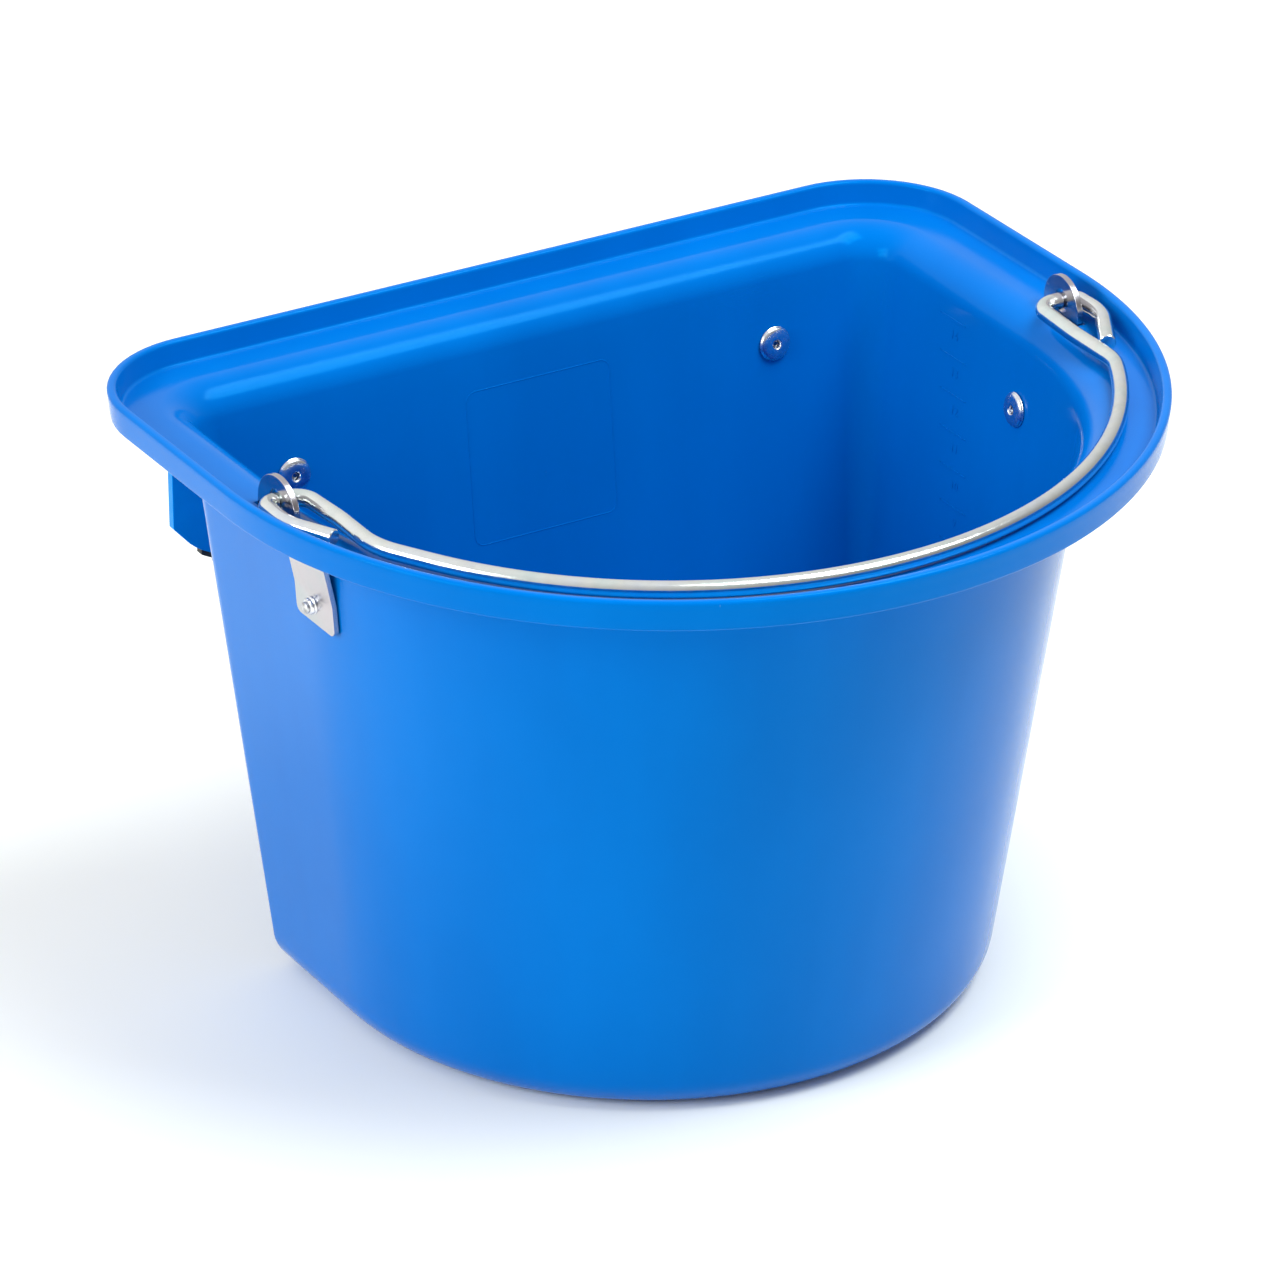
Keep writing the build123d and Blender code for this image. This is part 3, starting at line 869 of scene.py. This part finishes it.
def rivet_metal():
    """Satin aluminium with small pits and rubbed high spots."""
    s = Shader("rivet_body")
    tone = s.ramp(s.noise(260.0, 4.0), [(0.35, (0.72, 0.73, 0.77)), (0.65, (0.86, 0.86, 0.89))])
    pits = s.span(s.noise(900.0, 3.0), 0.0, 1.0, 0.62, 0.75)
    colour = s.mix(s.math("MULTIPLY", pits, 0.35), tone, (0.4, 0.42, 0.47))
    s.link(colour, s.surface.inputs["Base Color"])
    s.link(s.span(s.noise(500.0, 3.0), 0.18, 0.3), s.surface.inputs["Roughness"])
    s.bump(s.noise(1100.0, 3.0), 0.06, 0.1 * MM)
    s.set(Metallic=1.0)
    return s.material


def stem_steel():
    """Bright steel of the pulled stem, dull in its pits."""
    s = Shader("rivet_stem")
    tone = s.ramp(s.noise(700.0, 4.0), [(0.4, (0.42, 0.42, 0.44)), (0.7, (0.78, 0.78, 0.78))])
    s.link(tone, s.surface.inputs["Base Color"])
    s.link(s.span(s.noise(900.0, 3.0), 0.18, 0.42), s.surface.inputs["Roughness"])
    s.bump(s.noise(1600.0, 2.0), 0.25, 0.1 * MM)
    s.set(Metallic=1.0)
    return s.material


def black_rubber():
    """Matt rubber with a grey bloom and a fine grain."""
    s = Shader("black_rubber")
    tone = s.ramp(s.noise(180.0, 4.0), [(0.35, (0.012, 0.012, 0.013)), (0.7, (0.03, 0.03, 0.032))])
    s.link(tone, s.surface.inputs["Base Color"])
    s.link(s.span(s.noise(300.0, 3.0), 0.5, 0.7), s.surface.inputs["Roughness"])
    s.bump(s.noise(1800.0, 2.0), 0.3, 0.1 * MM)
    return s.material


def floor_paper():
    """White paper with the faintest mottling."""
    s = Shader("floor_paper")
    tone = s.ramp(s.noise(3.0, 3.0), [(0.3, (0.98, 0.95, 0.90)), (0.7, (0.99, 0.96, 0.91))])
    s.link(tone, s.surface.inputs["Base Color"])
    s.link(s.span(s.noise(40.0, 3.0), 0.75, 0.9), s.surface.inputs["Roughness"])
    s.set(Specular_IOR_Level=0.1)
    return s.material


# ---------------------------------------------------------------- stage


def make_floor():
    """A wide flat floor just under the base."""
    reach = 14.0
    drop = -0.05 * MM
    corners = [Vector((reach * x, reach * y, drop)) for x, y in ((-1, -1), (1, -1), (1, 1), (-1, 1))]
    floor = object_from("floor", corners, [(0, 1, 2, 3)])
    floor.data.materials.append(floor_paper())


def area_light(name, place, target, size, power, colour):
    """A soft rectangular light at place, turned to target."""
    light = bpy.data.lights.new(name, "AREA")
    light.shape = "RECTANGLE"
    light.size, light.size_y = size
    light.energy = power
    light.color = colour
    made = bpy.data.objects.new(name, light)
    made.location = place
    made.rotation_mode = "QUATERNION"
    made.rotation_quaternion = (Vector(target) - Vector(place)).to_track_quat("-Z", "Y")
    bpy.context.scene.collection.objects.link(made)


def make_room():
    """An even pale room, brighter behind and to the left than in front and to the right."""
    world = bpy.data.worlds.new("studio")
    world.use_nodes = True
    tree = world.node_tree
    sky = tree.nodes["Background"]
    sky.inputs["Color"].default_value = (0.98, 0.99, 1.0, 1.0)
    towards = tree.nodes.new("ShaderNodeVectorMath")
    towards.operation = "DOT_PRODUCT"
    towards.inputs[1].default_value = (-0.5, 0.7, 0.51)
    place = tree.nodes.new("ShaderNodeTexCoord")
    tree.links.new(place.outputs["Generated"], towards.inputs[0])
    fade = tree.nodes.new("ShaderNodeMapRange")
    fade.inputs["From Min"].default_value = -1.0
    fade.inputs["To Min"].default_value = 0.11
    fade.inputs["To Max"].default_value = 0.98
    tree.links.new(towards.outputs["Value"], fade.inputs["Value"])
    tree.links.new(fade.outputs["Result"], sky.inputs["Strength"])
    bpy.context.scene.world = world


def make_lights():
    """A large soft light at the left and another overhead."""
    make_room()
    middle = (0, -0.03, 0.15)
    area_light("key", (-2.3, -0.1, 1.25), middle, (1.2, 1.2), power=36, colour=(0.9, 0.99, 1.0))
    area_light("top", (0.55, -0.6, 1.8), middle, (1.0, 1.0), power=34, colour=(0.88, 0.98, 1.0))
    bpy.context.scene.view_settings.view_transform = "Standard"


def make_camera():
    """The photograph's view: from the front left, a little above, with a long lens."""
    azimuth, elevation, roll = -0.546, 0.471, 0.002
    distance = 2.766441
    lens = 198.34
    target = Vector((-0.046953, -0.056978, LIP_TOP - 80 * MM))
    back = Vector((
        math.sin(azimuth) * math.cos(elevation),
        -math.cos(azimuth) * math.cos(elevation),
        math.sin(elevation),
    ))
    level = Vector((math.cos(azimuth), math.sin(azimuth), 0))
    up = back.cross(level)
    right = math.cos(roll) * level + math.sin(roll) * up
    top = math.cos(roll) * up - math.sin(roll) * level
    camera = bpy.data.cameras.new("camera")
    camera.sensor_width = 36
    camera.lens = lens
    camera.clip_end = 60
    made = bpy.data.objects.new("camera", camera)
    turn = Matrix((right, top, back)).transposed().to_4x4()
    made.matrix_world = Matrix.Translation(target + back * distance) @ turn
    bpy.context.scene.collection.objects.link(made)
    bpy.context.scene.camera = made


# ---------------------------------------------------------------- assembly

plastic = blue_plastic()
hook_blue_painted_lighter = hook_plastic()
wire_metal = wire_zinc()
strap_metal = strap_zinc()
rivet_body = rivet_metal()
rivet_stem = stem_steel()
rubber = black_rubber()

make_bucket(plastic)
make_litre_marks(plastic)
make_back_panel(plastic)
make_bail(wire_metal)
for word in SIDES:
    strap = bevelled_copy(f"bail_bracket_{word}", f"bracket_strap_{word}", 0.3 * MM)
    finish_piece(strap, "bucket", strap_metal)
    hook = bevelled_copy(f"rear_hook_{word}", f"hook_moulding_{word}", 0.7 * MM)
    finish_piece(hook, "bucket", hook_blue_painted_lighter)
    tip = bevelled_copy(f"hook_tip_{word}", f"hook_rubber_{word}", 0.1 * MM)
    finish_piece(tip, "bucket", rubber)
for node, origin, axis in rivet_places():
    grip = GRIPS[node.split("_")[0]]
    place = make_rivet(node, origin, axis, rivet_body, rivet_stem)
    make_blind_end(node, place, grip, rivet_body, rivet_stem)

make_floor()
make_lights()
make_camera()
